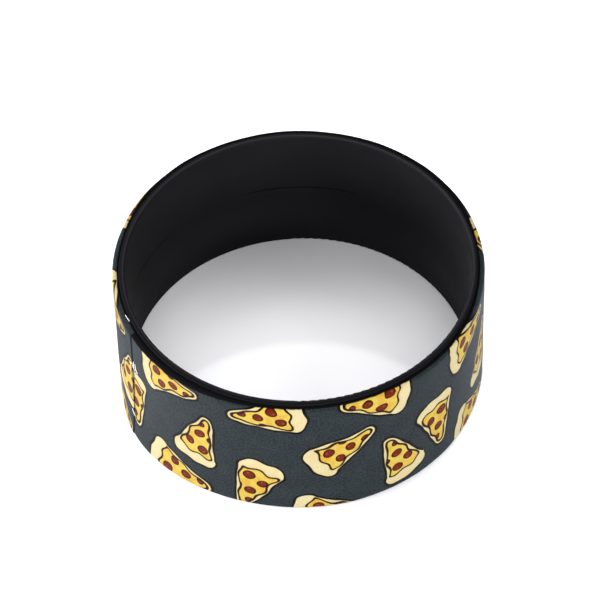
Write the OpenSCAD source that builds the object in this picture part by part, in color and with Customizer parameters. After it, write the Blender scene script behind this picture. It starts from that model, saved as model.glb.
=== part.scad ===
// Wide stretch bracelet: a plain rubber band with a printed fabric cover round it.
// It stands on its lower edge. The origin is the centre of that edge, +Z up.

/* [Band] */
// Diameter of the wrist hole with the band relaxed
wrist_d = 55; // [50:0.1:70]
// Height of the band, which is how wide it looks on the wrist
band_h = 25.4; // [15:0.1:40]

/* [Rubber] */
// Thickness of the rubber wall
rubber_t = 1; // [1:0.05:2]
// Rounding of the rubber's edges on the wrist side
rubber_wrist_round = 0.4; // [0.1:0.05:0.5]
// Rounding of the rubber's edges on the cover side
rubber_cover_round = 0.3; // [0.1:0.05:0.4]

/* [Cover] */
// Thickness of the cover: printed knit on a black backing
cover_t = 1; // [1:0.05:2]
// How far the cover's edges stay inside the rubber's edges
cover_inset = 0.4; // [0:0.05:2]
// Rounding of the cover's edges where the print rolls over them
cover_print_round = 0.55; // [0.1:0.05:0.6]
// Rounding of the cover's cut edges beside the rubber
cover_cut_round = 0.2; // [0.05:0.05:0.25]
// Gap that keeps the cover and the rubber two solids
cover_gap = 0.05; // [0.02:0.01:0.1]

/* [Seam] */
// Place of the seam round the band, anticlockwise from +X
seam_angle = 206.5; // [0:0.5:359.5]
// How far the upper end of the cover stands proud at the seam
seam_step = 0.15; // [0.1:0.05:0.4]
// Angle over which the lap dies away into the cover
lap_angle = 18; // [10:1:30]

/* [Hidden] */
$fn = 180;

rubber_in_r = wrist_d / 2;
rubber_out_r = rubber_in_r + rubber_t;
cover_in_r = rubber_out_r + cover_gap;
cover_out_r = cover_in_r + cover_t;

// The lap's outside is part of a larger step's circle, set off centre towards the seam.
lap_offset = seam_step / (1 - cos(lap_angle));
lap_r = cover_out_r + seam_step - lap_offset;
lap_t = 0.9 * cover_t;
lap_inset = cover_inset + 0.05;

// What a rounding takes away from a square corner at the origin
module corner_waste(round) {
    difference() {
        translate([-1, -1]) square(round + 1);
        translate([round, round]) circle(round);
    }
}

// Section of a standing wall from radius r0 to r1 and height z0 to z1,
// with its corners rounded by in_round at r0 and by out_round at r1
module wall_section(r0, r1, z0, z1, in_round, out_round) {
    difference() {
        translate([r0, z0]) square([r1 - r0, z1 - z0]);
        for (top = [0, 1]) {
            z = top == 1 ? z1 : z0;
            translate([r0, z]) mirror([0, top]) corner_waste(in_round);
            translate([r1, z]) mirror([1, 0]) mirror([0, top]) corner_waste(out_round);
        }
    }
}

// Wedge of the space round the axis, from one angle to another
module sector(from, to) {
    reach = 2 * cover_out_r;
    linear_extrude(band_h)
        polygon([[0, 0],
                 [reach * cos(from), reach * sin(from)],
                 [reach * cos(to), reach * sin(to)]]);
}

// The end of the cover that laps over the other one and stands proud at the seam
module lap() {
    intersection() {
        rotate(seam_angle)
            translate([lap_offset, 0, 0])
                rotate_extrude()
                    wall_section(lap_r - lap_t, lap_r, lap_inset, band_h - lap_inset,
                                 cover_cut_round, cover_print_round);
        sector(seam_angle - lap_angle, seam_angle);
    }
}

// The plain black band that touches the wrist and carries the cover
module inner_band() {
    color([0.11, 0.11, 0.12])
        rotate_extrude()
            wall_section(rubber_in_r, rubber_out_r, 0, band_h,
                         rubber_wrist_round, rubber_cover_round);
}

// The printed strip stretched round the rubber, with its two ends lapped
module printed_cover() {
    color([0.25, 0.28, 0.3])
        union() {
            rotate_extrude()
                wall_section(cover_in_r, cover_out_r, cover_inset, band_h - cover_inset,
                             cover_cut_round, cover_print_round);
            lap();
        }
}

inner_band();
printed_cover();
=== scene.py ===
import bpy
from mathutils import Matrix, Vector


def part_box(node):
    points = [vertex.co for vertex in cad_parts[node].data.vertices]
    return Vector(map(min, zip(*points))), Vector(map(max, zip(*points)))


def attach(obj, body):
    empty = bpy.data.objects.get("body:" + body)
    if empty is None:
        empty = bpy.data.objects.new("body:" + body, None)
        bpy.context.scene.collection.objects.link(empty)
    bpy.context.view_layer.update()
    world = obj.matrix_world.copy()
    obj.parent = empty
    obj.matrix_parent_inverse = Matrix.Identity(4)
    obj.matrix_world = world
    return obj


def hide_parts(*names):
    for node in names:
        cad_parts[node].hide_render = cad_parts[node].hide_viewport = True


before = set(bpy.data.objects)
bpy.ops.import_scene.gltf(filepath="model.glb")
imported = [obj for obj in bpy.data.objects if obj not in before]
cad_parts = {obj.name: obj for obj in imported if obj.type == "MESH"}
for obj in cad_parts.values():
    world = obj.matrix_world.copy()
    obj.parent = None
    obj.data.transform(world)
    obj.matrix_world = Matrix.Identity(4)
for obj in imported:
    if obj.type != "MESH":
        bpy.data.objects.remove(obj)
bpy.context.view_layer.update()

import math

import bmesh
import bpy
import numpy as np
from mathutils import Matrix, Vector

mm = 0.001
hair = 1e-6                     # metres, less than any two places are apart


# Small helpers for picking and shaping

def clearSelection():
    if bpy.context.object and bpy.context.object.mode == "EDIT":
        bpy.ops.object.mode_set(mode="OBJECT")
    bpy.ops.object.select_all(action="DESELECT")


def takeUp(piece):
    clearSelection()
    piece.select_set(True)
    bpy.context.view_layer.objects.active = piece


def pickPoints(piece, wanted):
    bpy.ops.mesh.select_mode(type="VERT")
    bpy.ops.mesh.select_all(action="DESELECT")
    shape = bmesh.from_edit_mesh(piece.data)
    for vert in shape.verts:
        vert.select_set(wanted(vert.co))
    shape.select_flush_mode()
    bmesh.update_edit_mesh(piece.data)


def pickEdges(piece, wanted):
    bpy.ops.mesh.select_mode(type="EDGE")
    bpy.ops.mesh.select_all(action="DESELECT")
    shape = bmesh.from_edit_mesh(piece.data)
    for edge in shape.edges:
        if wanted(edge):
            edge.select_set(True)
    bmesh.update_edit_mesh(piece.data)


def readPoints(piece):
    points = np.zeros(len(piece.data.vertices) * 3)
    piece.data.vertices.foreach_get("co", points)
    return points.reshape(-1, 3)


def writePoints(piece, points):
    piece.data.vertices.foreach_set("co", points.ravel())
    piece.data.update()


def turnsFromSeam(x, y):
    # degrees anticlockwise from the seam, 0 to 360
    return (np.degrees(np.arctan2(y, x)) - coverSpec["seamAngle"]) % 360


# Shader maths: one socket that can be added, scaled and compared

class Wire:
    def __init__(self, kit, socket):
        self.kit = kit
        self.socket = socket

    def __add__(self, other):
        return self.kit.maths("ADD", self, other)

    def __radd__(self, other):
        return self.kit.maths("ADD", other, self)

    def __sub__(self, other):
        return self.kit.maths("SUBTRACT", self, other)

    def __rsub__(self, other):
        return self.kit.maths("SUBTRACT", other, self)

    def __mul__(self, other):
        return self.kit.maths("MULTIPLY", self, other)

    def __rmul__(self, other):
        return self.kit.maths("MULTIPLY", other, self)

    def __abs__(self):
        return self.kit.maths("ABSOLUTE", self)

    def least(self, other):
        return self.kit.maths("MINIMUM", self, other)

    def most(self, other):
        return self.kit.maths("MAXIMUM", self, other)

    def softLeast(self, other, width):
        return self.kit.maths("SMOOTH_MIN", self, other, width)

    def softMost(self, other, width):
        return self.kit.maths("SMOOTH_MAX", self, other, width)

    def below(self, other):
        return self.kit.maths("LESS_THAN", self, other)

    def wave(self):
        return self.kit.maths("SINE", self)

    def root(self):
        return self.kit.maths("SQRT", self)


class Finish:
    def __init__(self, name):
        self.material = bpy.data.materials.new(name)
        self.material.use_nodes = True
        self.tree = self.material.node_tree
        self.tree.nodes.clear()

    def node(self, kind, settings, sockets, outs=(0,)):
        made = self.tree.nodes.new("ShaderNode" + kind)
        for key, value in settings.items():
            setattr(made, key, value)
        for key, value in sockets.items():
            if isinstance(value, Wire):
                self.tree.links.new(value.socket, made.inputs[key])
            else:
                made.inputs[key].default_value = value
        wires = [Wire(self, made.outputs[out]) for out in outs]
        return wires[0] if len(wires) == 1 else wires

    def maths(self, operation, *values, clamp=False):
        settings = {"operation": operation, "use_clamp": clamp}
        return self.node("Math", settings, dict(enumerate(values)))

    def vectors(self, operation, *values, out=0):
        return self.node("VectorMath", {"operation": operation}, dict(enumerate(values)), (out,))

    def colours(self, share, first, second):
        settings = {"data_type": "RGBA"}
        return self.node("Mix", settings, {0: share, 6: first, 7: second}, (2,))

    def places(self, share, first, second):
        settings = {"data_type": "VECTOR"}
        return self.node("Mix", settings, {0: share, 4: first, 5: second}, (1,))

    def eased(self, value, start, end, low=0.0, high=1.0):
        settings = {"interpolation_type": "SMOOTHSTEP"}
        return self.node("MapRange", settings, {0: value, 1: start, 2: end, 3: low, 4: high})

    def stretched(self, value, start, end, low=0.0, high=1.0):
        return self.node("MapRange", {}, {0: value, 1: start, 2: end, 3: low, 4: high})

    def place(self):
        # the object's own coordinates, in metres
        return self.node("TexCoord", {}, {}, (3,))

    def axes(self, place):
        return self.node("SeparateXYZ", {}, {0: place}, (0, 1, 2))

    def speckle(self, place, scale, detail=2.0, out=0):
        sockets = {"Vector": place, "Scale": scale, "Detail": detail}
        return self.node("TexNoise", {}, sockets, (out,))

    def bump(self, strength, height):
        return self.node("Bump", {}, {"Strength": strength, "Distance": 1.0, "Height": height})

    def surface(self, sockets):
        return self.node("BsdfPrincipled", {}, sockets)

    def finished(self, shader):
        self.node("OutputMaterial", {}, {"Surface": shader}, ())
        return self.material


def paint(red, green, blue, strength=1.0):
    # a colour as seen on a screen, 0 to 255, as the shader's own linear colour
    linear = []
    for level in (red, green, blue):
        share = level / 255
        part = share / 12.92 if share < 0.04045 else ((share + 0.055) / 1.055) ** 2.4
        linear.append(part * strength)
    return (*linear, 1.0)


black = (0.0, 0.0, 0.0, 1.0)


# The printed cover

coverSpec = {
    "wall": 1.0 * mm,           # knit and its backing
    "printRound": 0.55 * mm,    # where the print rolls over the edges
    "cutRound": 0.2 * mm,       # edges beside the rubber
    "printRoundSteps": 6,
    "cutRoundSteps": 3,
    "upright": 10 * mm,         # only the section's two upright edges are longer
    "printCuts": 26,
    "backCuts": 1,
    "seamAngle": 206.5,
    "seamOpening": 0.03,        # degrees between the two ends
    "turnSteps": 420,
    "endCorners": 20,           # only the two cut ends have more corners
    "lapAngle": 18.0,
    "lapStep": 0.15 * mm,
    "endRound": 0.05 * mm,
    "endRoundSteps": 3,
    "footSwell": 1.0 * mm,      # the cover bulges at its foot beside the seam
    "swellAt": 5.0,             # degrees on from the seam
    "swellReach": (24.0, 50.0),
    "swellTop": 18 * mm,
    "ripple": 0.07 * mm,
    "rippleSize": 7 * mm,
    "rippleFrom": 0.35,         # share of the wall where the ripple begins
    "rippleFade": 0.5,          # and over which it grows
    "smoothAngle": 40,
    "flatWidth": 24.6 * mm,
    "flatLength": 182.5 * mm,
}

bakeSpec = {                    # the layout for baking, in millimetres
    "rows": 3,
    "rowGap": 0.8,
    "sideRoom": 1.2,
    "squeeze": 0.05,            # share of its width that the hidden rubber side keeps
    "endRoom": 3.2,             # for the two cut ends, above the rows
    "endDrop": 2.2,
    "endGap": 1,
}


def coverLift(turns, height):
    # how far the outside stands out, where the upper end lies over the lower one and at the foot
    toEnd = 360 - turns
    share = np.clip(1 - (toEnd / coverSpec["lapAngle"]) ** 2, 0, 1)
    aside = (turns - coverSpec["swellAt"] + 180) % 360 - 180
    before, after = coverSpec["swellReach"]
    near = np.clip(np.where(aside < 0, -aside / before, aside / after), 0, 1)
    low = np.clip(1 - height / coverSpec["swellTop"], 0, 1)
    swell = coverSpec["footSwell"] * np.cos(near * math.pi / 2) ** 2 * low ** 2
    return coverSpec["lapStep"] * share + swell


def walkSection(piece):
    # the section's points in order: up the rubber side, over the top, down the print side
    shape = bmesh.new()
    shape.from_mesh(piece.data)
    middle = (max(v.co.z for v in shape.verts) + min(v.co.z for v in shape.verts)) / 2
    start = min(shape.verts, key=lambda v: (round(v.co.x, 6), abs(v.co.z - middle)))
    order, here = [start], None
    while here is not start:
        last = order[-1]
        ahead = [e.other_vert(last) for e in last.link_edges]
        if len(order) == 1:
            here = max(ahead, key=lambda v: v.co.z)
        else:
            here = [v for v in ahead if v is not order[-2]][0]
        if here is not start:
            order.append(here)
    section = np.array([(v.co.x, v.co.z) for v in order])
    shape.free()
    return section


def makeCover():
    low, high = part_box("printed_cover")
    outer = high.x
    inner = outer - coverSpec["wall"]
    middle = Vector(((inner + outer) / 2, 0, (low.z + high.z) / 2))
    clearSelection()
    bpy.ops.mesh.primitive_plane_add(size=1, location=middle, rotation=(math.pi / 2, 0, 0))
    cover = bpy.context.object
    cover.name = cover.data.name = "printedCover"
    bpy.ops.object.transform_apply(location=True, rotation=True, scale=False)
    bpy.ops.object.mode_set(mode="EDIT")
    wallSize = (coverSpec["wall"], 1, high.z - low.z)
    bpy.ops.transform.resize(value=wallSize, center_override=middle)
    pickPoints(cover, lambda place: place.x > middle.x)
    bpy.ops.mesh.bevel(offset=coverSpec["printRound"], segments=coverSpec["printRoundSteps"],
                       affect="VERTICES")
    pickPoints(cover, lambda place: place.x < inner + hair)
    bpy.ops.mesh.bevel(offset=coverSpec["cutRound"], segments=coverSpec["cutRoundSteps"],
                       affect="VERTICES")
    tall = coverSpec["upright"]
    pickEdges(cover, lambda edge: edge.calc_length() > tall and edge.verts[0].co.x > middle.x)
    bpy.ops.mesh.subdivide(number_cuts=coverSpec["printCuts"])
    pickEdges(cover, lambda edge: edge.calc_length() > tall and edge.verts[0].co.x < middle.x)
    bpy.ops.mesh.subdivide(number_cuts=coverSpec["backCuts"])
    bpy.ops.mesh.select_all(action="SELECT")
    bpy.ops.mesh.delete(type="ONLY_FACE")
    bpy.ops.object.mode_set(mode="OBJECT")
    section = walkSection(cover)

    opening = coverSpec["seamOpening"]
    cover.rotation_euler.z = math.radians(coverSpec["seamAngle"] + opening / 2)
    bpy.ops.object.transform_apply(location=False, rotation=True, scale=False)
    bpy.ops.object.mode_set(mode="EDIT")
    bpy.ops.mesh.select_all(action="SELECT")
    bpy.ops.mesh.spin(steps=coverSpec["turnSteps"], angle=-math.radians(360 - opening),
                      center=(0, 0, 0), axis=(0, 0, 1))
    pickEdges(cover, lambda edge: edge.is_boundary)
    bpy.ops.mesh.fill_holes(sides=0)
    bpy.ops.mesh.select_all(action="SELECT")
    bpy.ops.mesh.normals_make_consistent(inside=False)
    bpy.ops.object.mode_set(mode="OBJECT")

    points = readPoints(cover)
    radius = np.hypot(points[:, 0], points[:, 1])
    depth = (radius - inner) / coverSpec["wall"]
    lifted = radius + coverLift(turnsFromSeam(points[:, 0], points[:, 1]), points[:, 2]) * depth
    points[:, :2] *= (lifted / radius)[:, None]
    writePoints(cover, points)

    bpy.ops.object.mode_set(mode="EDIT")
    corners = coverSpec["endCorners"]
    pickEdges(cover, lambda edge: any(len(face.verts) > corners for face in edge.link_faces))
    bpy.ops.mesh.bevel(offset=coverSpec["endRound"], segments=coverSpec["endRoundSteps"], affect="EDGES")
    bpy.ops.object.mode_set(mode="OBJECT")
    print("cover: strip swept,", len(cover.data.polygons), "faces")
    return cover, section, inner, outer


def alongSection(section, radius, height):
    # distance along the section of the point of it that is nearest to each place
    step = np.roll(section, -1, axis=0) - section
    length = np.hypot(step[:, 0], step[:, 1])
    before = np.concatenate([[0], np.cumsum(length)[:-1]])
    nearest = np.full(len(radius), np.inf)
    found = np.zeros(len(radius))
    for (x, z), (dx, dz), size, gone in zip(section, step, length, before):
        share = np.clip(((radius - x) * dx + (height - z) * dz) / size ** 2, 0, 1)
        away = np.hypot(radius - x - share * dx, height - z - share * dz)
        closer = away < nearest
        nearest = np.where(closer, away, nearest)
        found = np.where(closer, gone + share * size, found)
    return found, length.sum()


def layCover(cover, section, inner, outer):
    # "strip" is in millimetres: along the strip from the seam, and up the wall from its lower edge
    points = readPoints(cover)
    turns = turnsFromSeam(points[:, 0], points[:, 1])
    along = np.radians(turns) * outer / mm
    radius = np.hypot(points[:, 0], points[:, 1])
    plain = inner + (radius - inner) / (1 + coverLift(turns, points[:, 2]) / coverSpec["wall"])
    gone, whole = alongSection(section, plain, points[:, 2])
    gone, whole = gone / mm, whole / mm
    foot = section[:, 1].min()
    tall = (section[:, 1].max() - foot) / mm
    hidden = (tall - 2 * coverSpec["cutRound"] / mm) / 2
    halfway = whole / 2
    centre = tall / 2

    mesh = cover.data
    loops = np.zeros(len(mesh.loops), dtype=int)
    mesh.loops.foreach_get("vertex_index", loops)
    strip = np.zeros((len(loops), 2))
    bake = np.zeros((len(loops), 2))
    rows, rowGap, sideRoom = bakeSpec["rows"], bakeSpec["rowGap"], bakeSpec["sideRoom"]
    squeeze, endGap = bakeSpec["squeeze"], bakeSpec["endGap"]
    shown = whole - 2 * hidden
    rowLength = 2 * math.pi * outer / mm / rows
    rowTall = shown + 2 * hidden * squeeze + rowGap
    across = rowLength + 2 * sideRoom
    down = rows * rowTall + bakeSpec["endRoom"]
    ends = 0
    for face in mesh.polygons:
        corners = list(face.loop_indices)
        verts = loops[corners]
        if len(corners) > coverSpec["endCorners"]:
            # the cut ends, kept off the print by a place before the strip's start
            side = (radius[verts] - inner) / mm
            rise = (points[verts, 2] - foot) / mm
            strip[corners] = np.stack([knitSpec["endsAt"] - side, rise], 1)
            bake[corners, 0] = (endGap + rise + ends * (tall + endGap)) / across
            bake[corners, 1] = (down - bakeSpec["endDrop"] + side) / down
            ends += 1
            continue
        s = gone[verts]
        if s.max() - s.min() > halfway:
            s = np.where(s < halfway, s + whole, s)
        strip[corners] = np.stack([along[verts], centre + halfway - s], 1)
        if s.mean() > whole:
            s = s - whole
        squeezed = np.where(s < hidden, s * squeeze,
                            np.where(s > whole - hidden,
                                     hidden * squeeze + shown + (s - whole + hidden) * squeeze,
                                     hidden * squeeze + s - hidden))
        row = min(int(along[verts].mean() / rowLength), rows - 1)
        bake[corners, 0] = (sideRoom + along[verts] - row * rowLength) / across
        bake[corners, 1] = (rowGap / 2 + row * rowTall + squeezed) / down
    for name, places in (("strip", strip), ("OFBake", bake)):
        layer = mesh.uv_layers.new(name=name)
        layer.data.foreach_set("uv", places.ravel())
    mesh.uv_layers.active = mesh.uv_layers["strip"]
    print("cover: laid out flat,", ends, "cut ends, bake span",
          [round(float(v), 3) for v in (*bake.min(0), *bake.max(0))])


def rippleCover(cover, inner, outer):
    # slight unevenness of the stretched knit, on the print side only
    points = readPoints(cover)
    depth = (np.hypot(points[:, 0], points[:, 1]) - inner) / (outer - inner)
    group = cover.vertex_groups.new(name="printSide")
    weights = np.clip((depth - coverSpec["rippleFrom"]) / coverSpec["rippleFade"], 0, 1)
    for number, weight in enumerate(weights):
        if weight > 0:
            group.add([number], float(weight), "REPLACE")
    clouds = bpy.data.textures.new("coverRipple", "CLOUDS")
    clouds.noise_scale = coverSpec["rippleSize"]
    clouds.noise_depth = 1
    takeUp(cover)
    ripple = cover.modifiers.new("ripple", "DISPLACE")
    ripple.texture = clouds
    ripple.texture_coords = "LOCAL"
    ripple.vertex_group = "printSide"
    ripple.strength = coverSpec["ripple"] * 2
    ripple.mid_level = 0.5
    bpy.ops.object.modifier_apply(modifier="ripple")
    cover.vertex_groups.clear()
    bpy.data.textures.remove(clouds)
    bpy.ops.object.shade_smooth_by_angle(angle=math.radians(coverSpec["smoothAngle"]))


# The print: plain slices scattered over a slate ground

inkStrength = 0.333             # the studio light is strong, so the inks are darker than they look

printSpec = {
    "repeat": 56.0,             # millimetres along the strip
    "size": 0.92,
    "spread": (8.0, 4.8, 0.3),  # reach of one slice, for choosing the nearest
    "wobble": 1.3,              # how far the drawing is bent out of shape
    "wobbleScale": (0.2, 0.2, 5.3),
    "blotchScale": (0.6, 0.6, 3.1),
    "warmFrom": 0.4,
    "warmFull": 0.66,
    "slices": [                 # along, up, turn in degrees, side
        (0.5, 10.0, 98, 1),
        (9.5, 22.0, 188, 1),
        (11.5, 2.0, 170, -1),
        (15.5, 12.5, 255, -1),
        (27.0, 22.5, 10, 1),
        (24.5, 5.0, 70, -1),
        (39.0, 14.0, 215, 1),
        (37.0, -1.0, 172, 1),
        (44.5, 23.5, 350, -1),
        (48.5, 7.5, 292, 1),
    ],
    "ground": paint(38, 45, 48, inkStrength),
    "groundPale": paint(62, 71, 74, inkStrength),
    "backing": paint(22, 22, 25, inkStrength),
    "cut": paint(50, 54, 57, inkStrength),
    "outline": paint(20, 13, 4, inkStrength),
    "dough": paint(255, 240, 187, inkStrength),
    "doughWarm": paint(249, 223, 156, inkStrength),
    "cheese": paint(251, 221, 98, inkStrength),
    "cheeseWarm": paint(246, 190, 70, inkStrength),
    "line": paint(46, 22, 8, inkStrength),
    "rim": paint(66, 18, 10, inkStrength),
    "topping": paint(133, 41, 14, inkStrength),
    "toppingPale": paint(178, 86, 54, inkStrength),
}

sliceSpec = {                   # one slice, in its own millimetres, tip towards -x
    "tip": -7.4,
    "halfWide": 3.45,
    "bow": 0.045,               # of the wide end
    "sideWave": (1.35, 0.5, 2.1, 0.26),     # along, across, from slice to slice, depth
    "sideWaveFrom": 1.2,        # behind the tip
    "sideWaveFull": 5.2,
    "dripWave": (1.75, 0.28),   # across, depth
    "cheese": {"grow": 0.1, "corners": 0.8, "behindTip": 1.35, "tipRound": 1.5},
    "dough": {"grow": 0.62, "corners": 1.2, "behindTip": 0.75, "tipRound": 1.7, "past": 1},
    "crustAt": 4.3,
    "crustPast": 1.15,
    "crustHalf": 2.95,
    "crustRound": 1.3,
    "crustWave": (1.6, 0.12),
    "crustBlend": 0.5,
    "toppings": [               # place and radius of each
        (2.4, -1.3, 1.08),
        (1.45, 1.5, 1.0),
        (-1.35, 0.1, 1.02),
        (-1.0, -2.35, 0.9),
        (-4.2, 0.75, 0.8),
    ],
    "toppingInset": 0.12,       # from the cheese's edge
    "glintShift": 0.3,
    "glintShare": 0.3,
    "outline": 0.47,
    "line": 0.42,
    "shade": 0.55,              # reach of the warm tone round the cheese
    "rim": 0.27,                # width of a topping's dark rim
    "pullIn": 0.1,
    "soft": 0.07,
}


def nearestSlice(kit, strip):
    half = printSpec["repeat"] / 2
    far = 1000.0                # there is no repeat up the strip
    reachX, reachY, offset = printSpec["spread"]
    size = printSpec["size"]
    chosen, best = None, None
    for number, (u, v, turn, side) in enumerate(printSpec["slices"]):
        moved = kit.vectors("SUBTRACT", strip, (u, v, 0))
        wrapped = kit.vectors("WRAP", moved, (half, far, far), (-half, -far, -far))
        own = kit.node("Mapping", {"vector_type": "TEXTURE"},
                       {"Vector": wrapped, "Location": (0, 0, -number),
                        "Rotation": (0, 0, math.radians(turn)), "Scale": (size, size * side, 1)})
        scaled = kit.vectors("MULTIPLY_ADD", own, (1 / reachX, 1 / reachY, 0), (offset / reachX, 0, 0))
        away = kit.vectors("LENGTH", scaled, out=1)
        if chosen is None:
            chosen, best = own, away
        else:
            chosen = kit.places(away.below(best), chosen, own)
            best = best.least(away)
    return chosen


def shapeSlice(kit, x, y, number):
    # distances to the edges of the whole slice, its cheese, its toppings and their light spots
    spec = sliceSpec
    tip, crustAt = spec["tip"], spec["crustAt"]
    lean = math.atan2(spec["halfWide"], crustAt - tip)
    fromTip = (x - tip) * math.sin(lean)
    upSide = y * math.cos(lean)
    wedge = (upSide - fromTip).softMost(-1 * upSide - fromTip, 1.0)
    perAlong, perAcross, perSlice, depth = spec["sideWave"]
    ramp = kit.stretched(x, tip + spec["sideWaveFrom"], tip + spec["sideWaveFull"])
    edge = ramp * (x * perAlong + number * perSlice + y * perAcross).wave() * depth
    perAcross, depth = spec["dripWave"]
    drip = (y * perAcross + number).wave() * depth
    bow = x + y * y * spec["bow"]
    own = spec["cheese"]
    cheese = (wedge + edge - own["grow"]).softMost(bow - crustAt + drip, own["corners"])
    cheese = cheese.softMost(tip + own["behindTip"] - x, own["tipRound"])
    own = spec["dough"]
    dough = (wedge - own["grow"]).softMost(bow - (crustAt + own["past"]), own["corners"])
    dough = dough.softMost(tip + own["behindTip"] - x, own["tipRound"])
    along = bow - (crustAt + spec["crustPast"])
    over = (abs(y) - spec["crustHalf"]).most(0.0)
    perAcross, depth = spec["crustWave"]
    bumpy = (y * perAcross + number).wave() * depth
    crust = (along * along + over * over).root() - spec["crustRound"] - bumpy
    shift = spec["glintShift"]
    topping, glint = None, None
    for px, py, reach in spec["toppings"]:
        dx, dy = x - px, y - py
        rim = (dx * dx + dy * dy).root() - reach
        dx, dy = x - (px + shift), y - (py - shift)
        spot = (dx * dx + dy * dy).root() - reach * spec["glintShare"]
        topping = rim if topping is None else topping.least(rim)
        glint = spot if glint is None else glint.least(spot)
    topping = topping.most(cheese + spec["toppingInset"])
    body = dough.softLeast(crust, spec["crustBlend"]).least(cheese)
    return body, cheese, topping, glint.most(topping)


def paintSlices(kit, strip, ground, grain):
    spec = printSpec
    chosen = nearestSlice(kit, strip)
    drift = kit.speckle(kit.vectors("MULTIPLY", chosen, spec["wobbleScale"]), 1.0, 1.0, out=1)
    wobble = spec["wobble"]
    bent = kit.vectors("MULTIPLY_ADD", drift, (wobble, wobble, 0), (-wobble / 2, -wobble / 2, 0))
    body, cheese, topping, glint = shapeSlice(kit, *kit.axes(kit.vectors("ADD", chosen, bent)))

    def inked(distance, grow=0.0):
        soft = sliceSpec["soft"]
        return kit.maths("MULTIPLY_ADD", distance + grain, -1 / soft, 0.5 + grow / soft, clamp=True)

    blotch = kit.speckle(kit.vectors("MULTIPLY", chosen, spec["blotchScale"]), 1.0, 2.0)
    warm = kit.eased(blotch, spec["warmFrom"], spec["warmFull"])
    dough = kit.colours(warm * 0.5, spec["dough"], spec["doughWarm"])
    filling = kit.colours(warm * 0.8, spec["cheese"], spec["cheeseWarm"])
    pullIn, halfLine = sliceSpec["pullIn"], sliceSpec["line"] / 2
    inside = inked(body)
    shade = inked(cheese, sliceSpec["shade"]) * inked(body, -pullIn)
    colour = kit.colours(inked(body, sliceSpec["outline"]), ground, spec["outline"])
    colour = kit.colours(inside, colour, dough)
    colour = kit.colours(shade * 0.6, colour, spec["doughWarm"])
    colour = kit.colours(inked(cheese, halfLine) * inside, colour, spec["line"])
    colour = kit.colours(inked(cheese, -halfLine), colour, filling)
    colour = kit.colours(inked(topping), colour, spec["rim"])
    colour = kit.colours(inked(topping, -sliceSpec["rim"]), colour, spec["topping"])
    return kit.colours(inked(glint, -pullIn) * 0.7, colour, spec["toppingPale"])


knitSpec = {
    "wale": 0.42,               # millimetres between the columns of stitches
    "course": 0.34,             # and between their rows
    "lean": 1.6,                # of a stitch's legs
    "depth": 0.05 * mm,
    "unevenDepth": 0.05 * mm,
    "unevenScale": 0.35,
    "fineScale": 2.6,
    "gapDark": 0.2,             # the gaps between stitches are darker
    "inkGrain": 0.05,           # the stitches fray the print's edges
    "printTop": 25.15,          # the print ends here on the rolled upper edge
    "printFoot": -0.55,
    "printSharp": 8.0,          # how sharply it ends
    "printDrift": 0.3,          # its end wanders up and down by half of this
    "driftScale": 0.9,
    "bare": 1.1,                # black left showing under the rim beside the seam
    "bareSteps": [(8, 31, -0.7), (64, 75, -0.35), (84, 95, 0.6), (152, 165, -0.6)],
    "halfRound": 92.83,         # millimetres from the seam to the far side
    "endsAt": -2,               # place of the cut ends, before the strip's start
    "paintedSeamShade": 0.25,             # painted shade along the two ends, where the seam dips
    "paintedSeamShadeReach": 0.6,
}


def coverFinish():
    kit = Finish("printedKnit")
    strip = kit.node("UVMap", {"uv_map": "strip"}, {})
    u, v, _ = kit.axes(strip)
    wale, course = knitSpec["wale"], knitSpec["course"]
    column = kit.maths("PINGPONG", u, wale / 2) * (2 / wale)
    leg = (column * math.pi).wave()
    stitch = abs((v * (math.pi / course) + column * knitSpec["lean"]).wave())
    knit = leg * (stitch * 0.6 + 0.4)
    uneven = kit.speckle(strip, knitSpec["unevenScale"], 3.0)
    fine = kit.speckle(strip, knitSpec["fineScale"], 2.0)

    pale = kit.eased(fine, 0.38, 0.62) * 0.7 + kit.eased(uneven, 0.4, 0.7) * 0.2 + knit * 0.15
    ground = kit.colours(pale, printSpec["ground"], printSpec["groundPale"])
    grain = knit * knitSpec["inkGrain"] - knitSpec["inkGrain"] / 2
    printed = paintSlices(kit, strip, ground, grain)

    # the print stops at the rolled edges, and lower beside the seam
    sharp = knitSpec["printSharp"]
    drift = (kit.speckle(strip, knitSpec["driftScale"], 2.0) - 0.5) * knitSpec["printDrift"]
    top = knitSpec["printTop"] - knitSpec["bare"] + drift
    for start, end, change in knitSpec["bareSteps"]:
        top = top - kit.eased(u, start, end, 0.0, change)
    inked = kit.maths("MULTIPLY_ADD", v - top, -sharp, 0.5, clamp=True)
    inked = inked * kit.maths("MULTIPLY_ADD", v - knitSpec["printFoot"], sharp, 0.5, clamp=True)
    colour = kit.colours(inked, printSpec["backing"], printed)
    colour = kit.colours(u.below(knitSpec["endsAt"] / 2), colour, printSpec["cut"])
    fromSeam = knitSpec["halfRound"] - abs(u - knitSpec["halfRound"])
    # painted shade: the cloth beside both cut ends is darkened towards the seam
    paintedSeamShade = kit.eased(fromSeam, 0.0, knitSpec["paintedSeamShadeReach"], knitSpec["paintedSeamShade"], 0.0)
    colour = kit.colours(paintedSeamShade, colour, printSpec["backing"])
    colour = kit.colours((1 - knit) * knitSpec["gapDark"], colour, black)

    bumps = knit * knitSpec["depth"] + uneven * knitSpec["unevenDepth"]
    plain = {
        "Base Color": colour,
        "Roughness": 0.62 - knit * 0.1,
        "IOR": 1.46,
        "Specular IOR Level": 0.01,
        "Normal": kit.bump(0.7, bumps),
    }
    fuzz = {
        "Sheen Weight": 0.093,
        "Sheen Roughness": 0.4,
        "Sheen Tint": (0.84, 0.89, 1.0, 1.0),
    }
    # only the printed side has fuzz, the backing is smooth
    smooth, fuzzy = kit.surface(plain), kit.surface({**plain, **fuzz})
    return kit.finished(kit.node("MixShader", {}, {0: inked, 1: smooth, 2: fuzzy}))


# The rubber band inside

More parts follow.
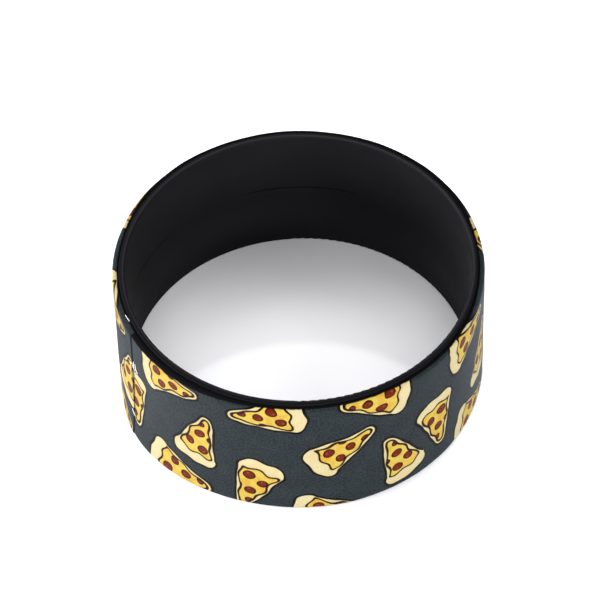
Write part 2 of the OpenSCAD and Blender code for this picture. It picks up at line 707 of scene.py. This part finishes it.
rubberSpec = {
    "colour": paint(12, 12, 14),
    "worn": paint(17, 17, 20),
    "paintedFootLight": paint(24, 24, 27), # painted light, paler towards the foot of the wall
    "paintedFootLightFrom": 13.0,
    "paintedFootLightFull": 4.0,
    "wristSide": 27.7,          # only the wall inside this radius has the mould line
    "partingAt": 13.2,          # height of that line
    "partingHalf": 0.2,
    "partingArcs": [(-150, -122), (-58, -25), (67, 110), (137, 169)],
    "partingFade": 6,           # degrees, at both ends of an arc
    "partingDepth": 0.08 * mm,
    "rimFrom": 25.15,           # height where the rim begins
    "rimFull": 25.3,
    "outerFrom": 28.1,          # radius where its outer part begins, painted darker as shade beside the cover
    "outerFull": 28.3,
    "paintedRimHighlight": paint(26, 26, 30),   # painted highlight: a light line where the rim turns to the wrist side
    "paintedRimHighlightAt": 27.82,
    "paintedRimHighlightHalf": 0.22,
    "cloudScale": 0.12,
    "cloudDepth": 0.05 * mm,
    "grainScale": 3.2,
    "grainDepth": 0.012 * mm,
}


def rubberFinish():
    spec = rubberSpec
    kit = Finish("satinRubber")
    inMm = kit.node("VectorMath", {"operation": "SCALE"}, {0: kit.place(), 3: 1 / mm})
    x, y, z = kit.axes(inMm)
    radius = (x * x + y * y).root()
    cloud = kit.speckle(inMm, spec["cloudScale"], 3.0)
    grain = kit.speckle(inMm, spec["grainScale"], 2.0)

    # the mould line, and the rim with its painted highlight and painted shade
    line = kit.eased(abs(z - spec["partingAt"]), 0.0, spec["partingHalf"], 1.0, 0.0)
    angle = kit.maths("ARCTAN2", y, x) * math.degrees(1)
    fade = spec["partingFade"]
    seen = 0.0
    for start, end in spec["partingArcs"]:
        seen = seen + kit.eased(angle, start, start + fade) * kit.eased(angle, end, end - fade)
    line = line * seen * radius.below(spec["wristSide"])
    rim = kit.eased(z, spec["rimFrom"], spec["rimFull"])
    # painted highlight along the rim's inner edge
    paintedRimHighlight = kit.eased(abs(radius - spec["paintedRimHighlightAt"]), 0.0, spec["paintedRimHighlightHalf"], 1.0, 0.0) * rim
    paintedShadeOuterRim = kit.eased(radius, spec["outerFrom"], spec["outerFull"]) * rim

    worn = kit.eased(cloud, 0.35, 0.7) * 0.5 + kit.eased(z, 0.8, 0.1) * 0.3
    colour = kit.colours(worn, spec["colour"], spec["worn"])
    # painted light: the lower inner wall is lightened towards the foot
    paintedFootLight = kit.eased(z, spec["paintedFootLightFrom"], spec["paintedFootLightFull"])
    colour = kit.colours(paintedFootLight, colour, spec["paintedFootLight"])
    # painted shade: the rim's outer part, beside the groove by the cover, is darkened
    colour = kit.colours(line.most(paintedShadeOuterRim * 0.6), colour, black)
    colour = kit.colours(paintedRimHighlight, colour, spec["paintedRimHighlight"])
    bumps = grain * spec["grainDepth"] + cloud * spec["cloudDepth"] - line * spec["partingDepth"]
    rough = kit.stretched(cloud, 0.3, 0.7, 0.56, 0.66) + grain * 0.06
    return kit.finished(kit.surface({
        "Base Color": colour,
        "Roughness": rough - paintedRimHighlight * 0.15 + paintedShadeOuterRim * 0.2 + line * 0.3,
        "IOR": 1.5,
        "Specular IOR Level": 0.042,
        "Normal": kit.bump(0.6, bumps),
    }))


# Loose threads at the seam

threadSpec = {
    "thick": 0.07 * mm,
    "weld": 1e-7,
    "smoothAngle": 50,
    "dull": paint(214, 210, 204),
    "pale": paint(250, 249, 246),
    "twistScale": 9000.0,
    "twistDepth": 0.01 * mm,
    "threads": [                # places along each: degrees, height and stand-off from the cover in mm
        [(208.0, 18.5, 0.06), (208.6, 18.0, 0.18), (208.9, 17.4, 0.16), (209.4, 16.9, 0.07)],
        [(207.2, 18.7, 0.08), (207.7, 18.2, 0.26), (207.6, 17.5, 0.2)],
        [(205.9, 18.2, 0.13), (206.3, 17.9, 0.19), (206.8, 18.1, 0.25)],
        [(206.9, 17.9, 0.2), (207.3, 17.3, 0.26), (208.1, 17.0, 0.12)],
        [(198.6, 25.04, -0.82), (200.0, 25.12, -0.89), (201.5, 25.06, -1.0)],
        [(205.6, 6.4, 0.07), (206.4, 5.9, 0.05), (206.9, 5.3, 0.06)],
    ],
}


def makeThreads(outer):
    clearSelection()
    made = []
    for places in threadSpec["threads"]:
        curve = bpy.data.curves.new("thread", "CURVE")
        curve.dimensions = "3D"
        curve.bevel_depth = threadSpec["thick"] / 2
        curve.bevel_resolution = 2
        curve.resolution_u = 6
        curve.use_fill_caps = True
        line = curve.splines.new("NURBS")
        line.points.add(len(places) - 1)
        line.use_endpoint_u = True
        line.order_u = 3
        for point, (angle, height, standOff) in zip(line.points, places):
            turn = math.radians(angle)
            turns = (angle - coverSpec["seamAngle"]) % 360
            radius = outer + coverLift(turns, height * mm) + standOff * mm
            point.co = (radius * math.cos(turn), radius * math.sin(turn), height * mm, 1)
        thread = bpy.data.objects.new("thread", curve)
        bpy.context.collection.objects.link(thread)
        made.append(thread)
    for thread in made:
        thread.select_set(True)
    bpy.context.view_layer.objects.active = made[0]
    bpy.ops.object.convert(target="MESH")
    bpy.ops.object.join()
    threads = bpy.context.object
    threads.name = threads.data.name = "seamThreads"
    bpy.ops.object.mode_set(mode="EDIT")
    bpy.ops.mesh.select_all(action="SELECT")
    bpy.ops.mesh.remove_doubles(threshold=threadSpec["weld"])
    bpy.ops.mesh.normals_make_consistent(inside=False)
    bpy.ops.object.mode_set(mode="OBJECT")
    bpy.ops.object.shade_smooth_by_angle(angle=math.radians(threadSpec["smoothAngle"]))
    print("threads:", len(threads.data.polygons), "faces")
    return threads


def threadFinish():
    kit = Finish("bareThread")
    twist = kit.speckle(kit.place(), threadSpec["twistScale"], 1.0)
    return kit.finished(kit.surface({
        "Base Color": kit.colours(twist, threadSpec["dull"], threadSpec["pale"]),
        "Roughness": 0.8 - twist * 0.1,
        "Sheen Weight": 0.3,
        "Normal": kit.bump(0.4, twist * threadSpec["twistDepth"]),
    }))


# Floor, light and camera

studioSpec = {
    "floorSize": 4.0,
    "floorPale": (0.86, 0.86, 0.885, 1.0),
    "floorDull": (0.8, 0.8, 0.82, 1.0),
    "toneScale": 3.0,
    "dome": (1.0, 1.0, 1.0, 1.0),
    "domeStrength": 0.01,
    "lampSize": (0.75, 0.5),
    "lampDistance": 1.5,
    "lamps": [                  # name, towards (azimuth, elevation), power
        ("leftFill", (-170, 14), 35.0),
        ("leftBack", (155, 14), 24.0),
        ("frontFill", (-70, 14), 41.5),
        ("leftTop", (-135, 36), 4.5),
        ("frontTop", (-90, 58), 6.7),
        ("rightTop", (-10, 36), 8.3),
        ("backLeft", (122, 58), 7.6),
        ("backRight", (58, 58), 6.8),
        ("backOver", (90, 78), 3.7),
    ],
    "spot": ("edgeLight", (90, 47.7), 4.7),
    "spotSize": (0.06, 0.06),
    "spotDistance": 1.6,
    "aimHeight": 12 * mm,
}

cameraSpec = {
    "elevation": 49.62,
    "distance": 0.6,
    "lens": 224.9,
    "sensor": 36.0,
    "clipStart": 0.01,
    "target": (0.11 * mm, 0.0, 16.65 * mm),
    "roll": 1.63,
}


def makeFloor():
    clearSelection()
    bpy.ops.mesh.primitive_plane_add(size=studioSpec["floorSize"], location=(0, 0, 0))
    floor = bpy.context.object
    floor.name = "studioFloor"
    kit = Finish("paleFloor")
    tone = kit.speckle(kit.place(), studioSpec["toneScale"], 2.0) * 0.01
    pale = kit.colours(tone, studioSpec["floorPale"], studioSpec["floorDull"])
    shader = kit.surface({"Base Color": pale, "Roughness": 0.55, "Specular IOR Level": 0.25})
    floor.data.materials.append(kit.finished(shader))


def makeLamp(name, azimuth, elevation, power, size, distance):
    turn, rise = math.radians(azimuth), math.radians(elevation)
    away = Vector((math.cos(turn) * math.cos(rise), math.sin(turn) * math.cos(rise), math.sin(rise)))
    lamp = bpy.data.lights.new(name, "AREA")
    lamp.shape = "RECTANGLE"
    lamp.size, lamp.size_y = size
    lamp.energy = power
    light = bpy.data.objects.new(name, lamp)
    bpy.context.collection.objects.link(light)
    light.location = Vector((0, 0, studioSpec["aimHeight"])) + away * distance
    light.rotation_euler = away.to_track_quat("Z", "Y").to_euler()


def makeLights():
    world = bpy.data.worlds.new("paleStudio")
    world.use_nodes = True
    dome = world.node_tree.nodes["Background"]
    dome.inputs["Color"].default_value = studioSpec["dome"]
    dome.inputs["Strength"].default_value = studioSpec["domeStrength"]
    bpy.context.scene.world = world
    for name, (azimuth, elevation), power in studioSpec["lamps"]:
        makeLamp(name, azimuth, elevation, power, studioSpec["lampSize"], studioSpec["lampDistance"])
    name, (azimuth, elevation), power = studioSpec["spot"]
    makeLamp(name, azimuth, elevation, power, studioSpec["spotSize"], studioSpec["spotDistance"])


def makeCamera():
    rise = math.radians(cameraSpec["elevation"])
    away = Vector((0, -math.cos(rise), math.sin(rise))) * cameraSpec["distance"]
    lens = bpy.data.cameras.new("photoCamera")
    lens.lens = cameraSpec["lens"]
    lens.sensor_width = cameraSpec["sensor"]
    lens.clip_start = cameraSpec["clipStart"]
    camera = bpy.data.objects.new("photoCamera", lens)
    bpy.context.collection.objects.link(camera)
    tilt = Matrix.Rotation(math.pi / 2 - rise, 4, "X")
    roll = Matrix.Rotation(-math.radians(cameraSpec["roll"]), 4, "Z")
    camera.matrix_world = Matrix.Translation(Vector(cameraSpec["target"]) + away) @ tilt @ roll
    scene = bpy.context.scene
    scene.camera = camera
    scene.view_settings.view_transform = "Standard"
    scene.view_settings.look = "None"


cover, section, innerRadius, outerRadius = makeCover()
layCover(cover, section, innerRadius, outerRadius)
rippleCover(cover, innerRadius, outerRadius)
cover.data.materials.append(coverFinish())
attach(cover, "root")
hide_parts("printed_cover")
print("cover: painted")

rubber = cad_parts["inner_band"]
rubber.data.materials.clear()
rubber.data.materials.append(rubberFinish())
print("rubber: painted")

threads = makeThreads(outerRadius)
threads.data.materials.append(threadFinish())
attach(threads, "root")

makeFloor()
makeLights()
makeCamera()
print("studio: floor, lights and camera made")

bpy.context.view_layer.update()
